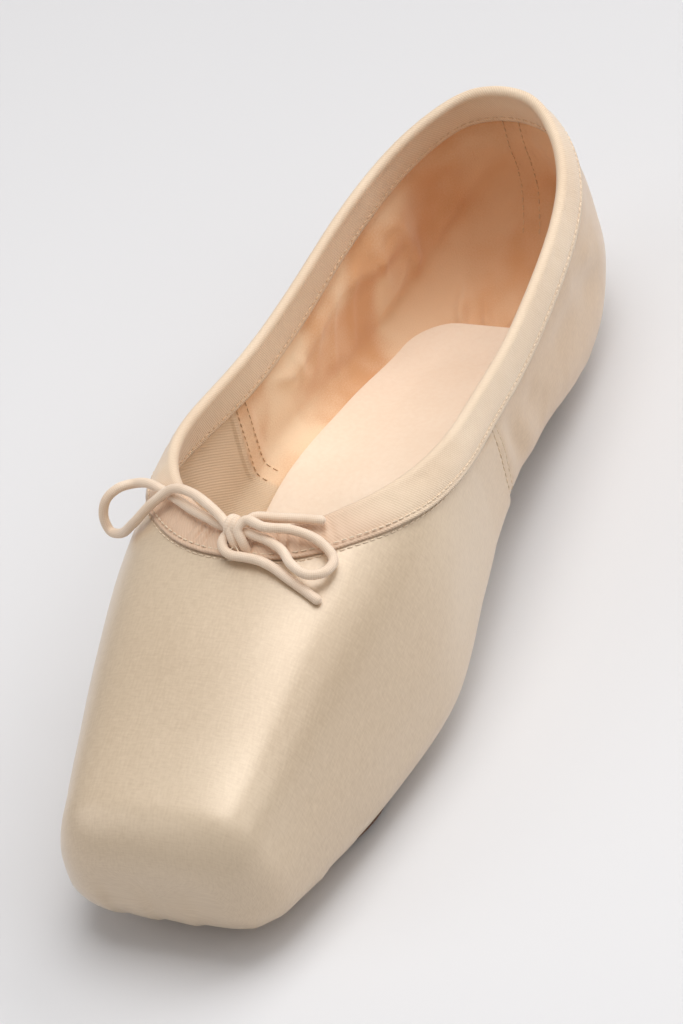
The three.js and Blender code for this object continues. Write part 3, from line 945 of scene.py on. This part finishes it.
def at_depth(distance):
    """Each rib's point at one distance below the rim."""
    return along_lines(rib_path, rib_run, np.full((len(rib_path), 1), distance))[:, 0]


def tape_face(clear, ripple, gather):
    """One face of the binding tape as a half ring: from its outer edge over the rim to its inner."""
    top = rib_path[:, 0]
    normal = outward(top)
    up = top - at_depth(2.0)
    up /= np.linalg.norm(up, axis=1, keepdims=True)
    wall = wall_at(top[:, 0], top[:, 2], np.zeros(len(rib_path)))
    dent = lambda to_edge: STITCH_DENT * bell(to_edge + 1.3, 0.55)
    drawn = lambda distance: (1 - RIM_PINCH) * clear * (1 - smooth(distance / 5))
    columns = []
    for distance in np.linspace(TAPE_OUTER, TAPE_TURN, TAPE_ROWS):
        spot = at_depth(distance)
        away = clear - dent(distance - TAPE_OUTER) + ripple * math.sin(math.pi * min(distance, 4) / 4)
        away += gather * math.sin(math.pi * distance / TAPE_OUTER)
        away -= drawn(distance)
        columns.append(spot + outward(spot) * away[:, None])
    for share in np.linspace(0, 1, FOLD_ROWS):
        columns.append(rim_fold(top, normal, up, wall, share * math.pi, RIM_PINCH * clear))
    for distance in np.linspace(TAPE_TURN, TAPE_INNER, TAPE_ROWS):
        spot = at_depth(distance)
        thick = wall_at(spot[:, 0], spot[:, 2], np.full(len(rib_path), distance))
        inward = thick + clear - dent(distance - TAPE_INNER) - drawn(distance)
        columns.append(spot - outward(spot) * inward[:, None])
    return np.stack(columns, 1)


def make_tape():
    top = rib_path[:, 0]
    ripple = 0.16 * billow(top, 5, 2.2) + 0.12 * billow(top, 2.2, 8.1)
    from_front = length_along(top)
    uneven = 0.8 * np.sin(0.7 * from_front)
    gather = np.abs(np.sin(math.pi * from_front / GATHER_PITCH + uneven)) - 0.55
    gather *= GATHER_HEIGHT * bell(from_front, GATHER_REACH)
    face = tape_face(TAPE_GAP + TAPE_THICKNESS + 0.25 * ripple, ripple, gather)
    back = tape_face(TAPE_GAP + 0 * ripple, 0 * ripple, 0 * ripple)
    half = np.concatenate([face, back[:, ::-1], face[:, :1]], 1)
    points = full_ring(half)
    rim_row_number = TAPE_ROWS + FOLD_ROWS // 2
    around = length_along(points[:, rim_row_number])[:, None]
    around = np.broadcast_to(around, points.shape[:2])
    across = np.broadcast_to(length_along(half[40]), points.shape[:2])
    piece = to_grid("binding_tape", points, [np.stack([around, across], -1)], [TAPE])
    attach(piece, "root")
    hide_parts("collar_binding")


make_tape()


def sheet_points(rear, front, half, height, counts):
    """A sheet's points over an outline that is symmetric about the middle."""
    along, across = counts
    share = np.linspace(0, 1, along)
    share = mix(share, (1 - np.cos(math.pi * share)) / 2, 0.6)
    x = mix(rear, front, share)[:, None] + np.zeros(across)
    y = half(x) * np.linspace(-1, 1, across)
    return np.stack([x, y, height(x, y)], -1)


def outline_of(rear, front, half):
    """The outline as a closed row of points, with the length run along it."""
    x = mix(rear, front, (1 - np.cos(np.linspace(0, math.pi, 900))) / 2)
    side = half(x)
    ring = np.concatenate([np.stack([x, side], 1), np.stack([x, -side], 1)[::-1]])
    ring = np.concatenate([ring, ring[:1]])
    run_along = length_along(ring)
    even = np.arange(0, run_along[-1], 0.35)
    spots = [np.interp(even, run_along, ring[:, axis]) for axis in (0, 1)]
    return np.stack(spots, 1), even


def nearest_on(ring, places):
    """Distance from each place to an outline, and the nearest outline point's number."""
    found = np.empty(len(places))
    number = np.empty(len(places), int)
    batch = 2000
    for first in range(0, len(places), batch):
        part = slice(first, first + batch)
        gap = ((places[part, None] - ring[None]) ** 2).sum(2)
        number[part] = gap.argmin(1)
        found[part] = np.sqrt(gap.min(1))
    return found, number


def vertices_of(mesh):
    return spots_of(mesh) / MM + np.array([LENGTH / 2, 0, 0])


def write_value(mesh, name, values):
    layer = mesh.attributes.new(name, "FLOAT", "POINT")
    layer.data.foreach_set("value", values.astype(np.float32))


def side_faces(mesh, slot_number, limit):
    """Gives the faces that stand upright their own material."""
    for face in mesh.polygons:
        if abs(face.normal.z) < limit:
            face.material_index = slot_number


def bent_sheet(name, points, materials, thickness, offset):
    """A sheet with its thickness below it, or above it where the offset is 1."""
    piece = to_grid(name, points, [points[..., :2]], materials)
    mesh = piece.data
    if mesh.polygons[len(mesh.polygons) // 2].normal.z < 0:
        mesh.flip_normals()
    apply_modifier(piece, "SOLIDIFY", thickness=thickness * MM, offset=offset)
    return piece


def round_edges(piece, width):
    apply_modifier(piece, "BEVEL", width=width * MM, segments=3, limit_method="ANGLE", angle_limit=0.9)


def make_outsole():
    height = lambda x, y: underside(x, y) - SOLE_GAP
    points = sheet_points(SOLE_REAR, SOLE_FRONT, sole_half, height, (210, 61))
    piece = bent_sheet("suede_outsole", points, [SUEDE, SOLE_EDGE], SOLE_THICKNESS, -1)
    mesh = piece.data
    spots = vertices_of(mesh)
    spots[:, 2] = np.maximum(spots[:, 2], 0)
    mesh.vertices.foreach_set("co", in_metres(spots).ravel())
    mesh.update()
    round_edges(piece, 0.5)
    ring, run_along = outline_of(SOLE_REAR, SOLE_FRONT, sole_half)
    away, number = nearest_on(ring, vertices_of(mesh)[:, :2])
    write_value(mesh, "edge", away)
    write_value(mesh, "run", run_along[number])
    side_faces(mesh, 1, 0.75)
    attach(piece, "root")
    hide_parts("outsole")


make_outsole()


def insole_half(x):
    rounded = lambda to_end: 1 - drawn_in(INSOLE_ROUND, INSOLE_ROUND - to_end) / INSOLE_ROUND
    kept = lambda to_end: mix(INSOLE_END_SHARE, 1, rounded(to_end))
    half = underside_half(x, INSOLE_THICKNESS) - INSOLE_EDGE_GAP
    return half * kept(x - INSOLE_REAR) * kept(INSOLE_FRONT - x)


def make_insole():
    height = lambda x, y: underside(x, y) + LAP_WALL + INSOLE_GAP
    points = sheet_points(INSOLE_REAR, INSOLE_FRONT, insole_half, height, (150, 45))
    piece = bent_sheet("peach_insole", points, [SOCK], INSOLE_THICKNESS, 1)
    round_edges(piece, 0.6)
    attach(piece, "root")
    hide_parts("insole")


make_insole()


def stitch_shape(length, thickness):
    """One stitch: a small ball drawn out to a rounded bar."""
    deselect()
    bpy.ops.mesh.primitive_uv_sphere_add(segments=8, ring_count=6, radius=0.5)
    ball = bpy.context.object
    spots = spots_of(ball.data)[:, [2, 1, 0]]
    faces = [list(face.vertices) for face in ball.data.polygons]
    bpy.data.objects.remove(ball)
    bar = np.sign(spots[:, :1]) * np.abs(2 * spots[:, :1]) ** 0.6 / 2
    spots = np.concatenate([bar * length, spots[:, 1:] * thickness], 1)
    return spots, [face[::-1] for face in faces]


def sewn(name, rows, pitch, length, thickness, thread):
    """Rows of stitches as one piece. Each row is a path of points and the normals along it."""
    shape, faces = stitch_shape(length, thickness)
    spots, all_faces = [], []
    for path, normals in rows:
        along = length_along(path)
        for place in np.arange(pitch * 0.5, along[-1], pitch):
            middle, ahead, up = (
                np.array([np.interp(at, along, track[:, axis]) for axis in range(3)])
                for at, track in ((place, path), (place + 0.2, path), (place, normals)))
            forward = ahead - middle
            forward /= np.linalg.norm(forward) + 1e-9
            side = np.cross(up, forward)
            side /= np.linalg.norm(side)
            first = len(spots) * len(shape)
            spots.append(middle + shape @ np.stack([forward, side, np.cross(forward, side)]))
            all_faces += [[first + corner for corner in face] for face in faces]
    mesh = bpy.data.meshes.new(name)
    mesh.from_pydata(in_metres(np.concatenate(spots)).tolist(), [], all_faces)
    mesh.materials.append(thread)
    piece = new_object(name, mesh)
    face_outwards(mesh)
    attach(piece, "root")


def laid_on(spot, depth, to_opening, lift):
    """Points and facings of a row on the satin, or on the lining where the lift is below 0."""
    normal = outward(spot)
    if lift < 0:
        return spot - normal * (inner_lift(spot, depth) - lift)[..., None], -normal
    return spot + normal * (outer_lift(spot, depth, to_opening) + lift)[..., None], normal


def rim_row(distance, lift):
    """A row that follows the rim at a distance below it; a lift below 0 puts it inside."""
    depth = np.full((len(rib_path), 1), distance)
    spot = along_lines(rib_path, rib_run, depth)
    path, facing = laid_on(spot, depth, rib_run[:, -1:] - depth, lift)
    return full_ring(path)[:, 0], full_ring(facing)[:, 0]


def plane_row(turn, centre, start, stop, lift, aside=0.0):
    """A row down an upright plane, between two depths; a lift below 0 puts it inside."""
    rib, length = rib_lines(np.array([turn]), np.array([centre]), aside=aside)
    depth = np.arange(start, length[0, -1] - stop, 0.5)[None]
    path, facing = laid_on(along_lines(rib, length, depth), depth, length[0, -1] - depth, lift)
    return path[0], facing[0]


def other_side(row):
    flip = np.array([1, -1, 1])
    return row[0] * flip, row[1] * flip


def side_rows(rows_back, start, stop, lift):
    """Rows down both sides of the shoe, at distances behind the side seam."""
    near = [plane_row(math.pi / 2, SEAM_X - back, start, stop, lift) for back in rows_back]
    return near + [other_side(row) for row in near]


def heel_rows(places, start, stop, lift):
    """Rows down the back of the heel, at distances to the left of the middle."""
    return [plane_row(math.pi, HEEL_CENTRE, start, stop, lift, aside) for aside in places]


def make_stitches():
    tape_top = TAPE_GAP + TAPE_THICKNESS - 0.06
    below_outer, below_inner = TAPE_OUTER + 0.6, TAPE_INNER + 0.6
    to_sole = 7.5
    outer = [rim_row(TAPE_OUTER - 1.2, tape_top), rim_row(below_outer, 0.08)]
    sewn("binding_stitches", outer, 1.8, 1.4, 0.38, PALE_THREAD)
    inner = [rim_row(TAPE_INNER - 1.3, -tape_top)]
    sewn("binding_stitches_inside", inner, 2.0, 1.4, 0.38, TAN_THREAD)
    seams = side_rows(SEAM_ROWS, below_outer, to_sole, 0.06)
    sewn("side_seam_stitches", seams, 1.9, 1.4, 0.4, PALE_THREAD)
    inside = side_rows(SEAM_ROWS_INSIDE, below_inner, 18.5, -0.13)
    inside += heel_rows(HEEL_ROWS_INSIDE, below_inner, 34, -0.1)
    sewn("seam_stitches_inside", inside, 1.9, 1.3, 0.36, TAN_THREAD)
    back = heel_rows([1.7], below_outer, to_sole, 0.06)
    sewn("heel_seam_stitches", back, 2.0, 1.4, 0.4, PALE_THREAD)


def tape_spot(aside, depth, stand):
    """A point on the outside of the tape at the front of the throat, to a side of the middle."""
    near = int(np.argmin(np.abs(rib_path[:12, 0, 1] - abs(aside))))
    spot = along_lines(rib_path[near:near + 1], rib_run[near:near + 1], np.array([[depth]]))[0, 0]
    spot = spot + outward(spot[None])[0] * (TAPE_GAP + TAPE_THICKNESS + stand)
    return np.array([spot[0], aside, spot[2]])


# Crossed threads: from a place and a depth on the tape, to a place and a depth
TACK_STRANDS = (
    (-2.2, 4.2, 2.0, 8.4), (2.4, 4.4, -2.0, 8.2), (-2.3, 7.9, 2.3, 8.3), (-2.1, 5.0, -1.7, 8.4),
)


def make_tack():
    """Crossed threads sewn through the tape where the drawstring comes out of it."""
    share = np.linspace(0, 1, 40)
    facing = np.tile([0.3, 0.0, 0.95], (40, 1))
    rows = []
    for from_y, from_depth, to_y, to_depth in TACK_STRANDS:
        path = mix(tape_spot(from_y, from_depth, 0.5), tape_spot(to_y, to_depth, 0.35), share[:, None])
        path[:, 2] += 0.9 * np.sin(math.pi * share)
        rows.append((path, facing))
    sewn("tack_threads", rows, 0.9, 1.3, 0.42, PALE_THREAD)


make_stitches()
make_tack()

# Drawstring: places are shares of the bow's reach from the rim at the front of the throat
BOW_REACH = 40.0
THROAT = np.array([THROAT_X, 0, THROAT_HEIGHT])
KNOT = np.array([0.072, -0.030, 0.077])
WRAP_RADIUS = 0.043
WRAP_WIDTH = 0.044
WRAP_ANGLE = 2.6 * math.pi
LOOP_LEFT = [
    (0.053, -0.107, 0.113), (-0.015, -0.212, 0.133), (-0.082, -0.338, 0.140),
    (-0.123, -0.475, 0.115), (-0.080, -0.610, 0.030), (-0.037, -0.735, -0.090),
    (-0.065, -0.865, -0.215),
    (-0.095, -0.950, -0.235), (-0.120, -0.980, -0.155), (-0.160, -0.955, -0.060),
    (-0.215, -0.890, -0.015), (-0.265, -0.810, -0.015), (-0.245, -0.710, 0.015),
    (-0.185, -0.590, 0.033), (-0.115, -0.465, 0.045), (-0.040, -0.340, 0.055),
    (0.015, -0.215, 0.057), (0.050, -0.107, 0.048),
]
LOOP_RIGHT = [
    (0.065, 0.050, 0.125), (0.090, 0.165, 0.115), (0.055, 0.315, 0.080), (0.065, 0.460, 0.030),
    (0.130, 0.560, -0.030), (0.230, 0.550, -0.030), (0.290, 0.475, -0.005), (0.255, 0.375, 0.020),
    (0.170, 0.285, 0.035), (0.120, 0.180, 0.045), (0.090, 0.055, 0.053),
]
THROUGH_KNOT = [(0.045, 0.000, 0.062)]
TAIL_UPPER = [
    (-0.010, 0.055, 0.080), (-0.030, 0.175, 0.072), (-0.050, 0.300, 0.065), (-0.065, 0.425, 0.055),
]
ROUND_KNOT = [
    (0.079, -0.008, 0.056), (0.098, -0.054, 0.052), (0.148, -0.075, 0.040), (0.197, -0.055, 0.020),
]
TAIL_LOWER = [
    (0.219, -0.005, 0.006), (0.222, 0.075, 0.002), (0.228, 0.160, -0.003), (0.252, 0.250, -0.018),
    (0.290, 0.345, -0.047), (0.325, 0.440, -0.079), (0.360, 0.535, -0.115),
]
RISE_LEFT = [(0.150, 0.000, -0.015), (0.142, -0.018, 0.040), (0.108, -0.042, 0.092)]
RISE_RIGHT = [(0.154, 0.056, -0.018), (0.144, 0.040, 0.035), (0.108, 0.010, 0.095)]


def flowing(places, step=0.5):
    """A smooth path through places, with a point at every step."""
    places = THROAT + np.array(places) * BOW_REACH
    spans = np.linalg.norm(np.diff(places, axis=0), axis=1)
    knots = np.concatenate([[0], np.sqrt(spans).cumsum()])
    curves = [smooth_curve(knots, places[:, axis], level_turns=False) for axis in range(3)]
    fine = np.linspace(0, knots[-1], 40 * len(places))
    path = np.stack([curve(fine) for curve in curves], 1)
    length = length_along(path)
    even = np.linspace(0, length[-1], int(length[-1] / step) + 1)
    return np.stack([np.interp(even, length, path[:, axis]) for axis in range(3)], 1), length[-1]


def tube(name, path, diameter, sides=14):
    """A round cord along a path, with rounded ends and a map that runs along and round it."""
    ahead = np.gradient(path, axis=0)
    ahead /= np.linalg.norm(ahead, axis=1, keepdims=True)
    side = np.empty_like(path)
    side[0] = np.cross(ahead[0], (0.0, 0.31, 0.95))
    side[0] /= np.linalg.norm(side[0])
    for i in range(1, len(path)):
        turned = side[i - 1] - ahead[i] * (side[i - 1] @ ahead[i])
        side[i] = turned / np.linalg.norm(turned)
    over = np.cross(ahead, side)
    radius = diameter / 2
    ends = np.linspace(0, math.pi / 2, 6)[:-1]
    rings = [(0, -radius * math.cos(a), radius * math.sin(a)) for a in ends]
    rings += [(i, 0, radius) for i in range(len(path))]
    rings += [(len(path) - 1, radius * math.cos(a), radius * math.sin(a)) for a in ends[::-1]]
    angle = np.linspace(0, 2 * math.pi, sides + 1)
    circle = [np.cos(angle)[:, None], np.sin(angle)[:, None]]
    points = np.stack([
        path[i] + ahead[i] * shift + r * (circle[0] * side[i] + circle[1] * over[i])
        for i, shift, r in rings])
    points[:, -1] = points[:, 0]
    steps = np.linalg.norm(np.diff(path, axis=0), axis=1).mean()
    along = np.array([i * steps + shift for i, shift, _ in rings])
    around = angle * radius
    maps = np.stack(np.broadcast_arrays(along[:, None], around[None]), -1)
    return to_grid(name, points, [maps], [CORD])


def make_bow():
    turns = np.linspace(0, WRAP_ANGLE, 40)
    across = WRAP_WIDTH * (turns / WRAP_ANGLE - 0.5)
    ring = np.stack([WRAP_RADIUS * np.cos(turns), across, WRAP_RADIUS * np.sin(turns)], 1)
    wrap_path, _ = flowing(KNOT + ring, 0.4)
    knot = tube("knot_wraps", wrap_path, CORD_DIAMETER * 0.9)
    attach(knot, "root")
    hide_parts("bow_knot")
    cords = (
        ("drawstring_left", RISE_LEFT + LOOP_LEFT + THROUGH_KNOT + TAIL_UPPER,
         ("bow_loop_left", "bow_tail_upper"), [knot]),
        ("drawstring_right", RISE_RIGHT + LOOP_RIGHT + ROUND_KNOT + TAIL_LOWER,
         ("bow_loop_right", "bow_tail_lower"), []),
    )
    for name, places, nodes, pieces in cords:
        path, length = flowing(places)
        cord = tube(name, path, CORD_DIAMETER)
        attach(cord, "root")
        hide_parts(*nodes)


make_bow()


def make_floor():
    deselect()
    bpy.ops.mesh.primitive_plane_add(size=8, location=(0, 0, 0))
    floor = bpy.context.object
    floor.name = "studio_floor"
    made, shader, start = material("pale studio floor", 0.6)
    # Painted light fall-off: the floor is lighter towards the camera and greyer away from it, with
    # wide blotches
    near = shoe_axes(start)[0] + cloud(start, 330) * 40
    colour = near.dyed((0.83, 0.825, 0.828), (0.885, 0.88, 0.883), -330.0, 110.0)
    floor.data.materials.append(finish(made, start, shader, colour))


# Area lights: name, place, aim, size and power
LIGHTS = (
    ("top", (-0.25, 0.1, 1.7), (0.0, 0.0, 0.0), (1.2, 1.2), 17),
    ("right", (0.1, 1.3, 1.2), (0.0, 0.0, 0.03), (0.9, 0.9), 2.5),
    ("back", (-1.0, 0.6, 1.0), (0.0, 0.0, 0.03), (1.2, 0.9), 9),
    ("left", (0.9, -1.4, 1.1), (0.0, 0.0, 0.03), (1.2, 1.2), 5),
)
SKY_COLOUR = (0.96, 0.96, 0.97, 1.0)
SKY_STRENGTH = 0.34


def soft_light(name, place, aim, size, power):
    light = bpy.data.lights.new(name, "AREA")
    light.shape = "RECTANGLE"
    light.size, light.size_y = size
    light.energy = power
    holder = new_object(name, light)
    holder.location = place
    holder.rotation_euler = (Vector(aim) - Vector(place)).to_track_quat("-Z", "Y").to_euler()


def make_lights():
    for each in LIGHTS:
        soft_light(*each)
    world = bpy.data.worlds.new("studio")
    bpy.context.scene.world = world
    world.use_nodes = True
    sky = world.node_tree.nodes["Background"]
    sky.inputs["Color"].default_value = SKY_COLOUR
    sky.inputs["Strength"].default_value = SKY_STRENGTH
    bpy.context.scene.view_settings.view_transform = "Standard"


CAMERA_PLACE = Vector((0.677, 0.436, 0.699))
CAMERA_AIM = Vector((0.006, 0.0, 0.028))
CAMERA_UP = Vector((-0.660, -0.091, 0.746))
FOCAL_LENGTH = 163
SENSOR_HEIGHT = 36


def make_camera():
    """The photograph's own viewing angle to the shoe, rolled as it is there."""
    lens = bpy.data.cameras.new("camera")
    lens.lens = FOCAL_LENGTH
    lens.sensor_fit = "VERTICAL"
    lens.sensor_height = SENSOR_HEIGHT
    lens.clip_end = 30
    camera = new_object("camera", lens)
    back = (CAMERA_PLACE - CAMERA_AIM).normalized()
    right = CAMERA_UP.cross(back).normalized()
    turn = Matrix((right, back.cross(right), back)).transposed()
    camera.matrix_world = Matrix.Translation(CAMERA_PLACE) @ turn.to_4x4()
    bpy.context.scene.camera = camera


make_floor()
make_lights()
make_camera()
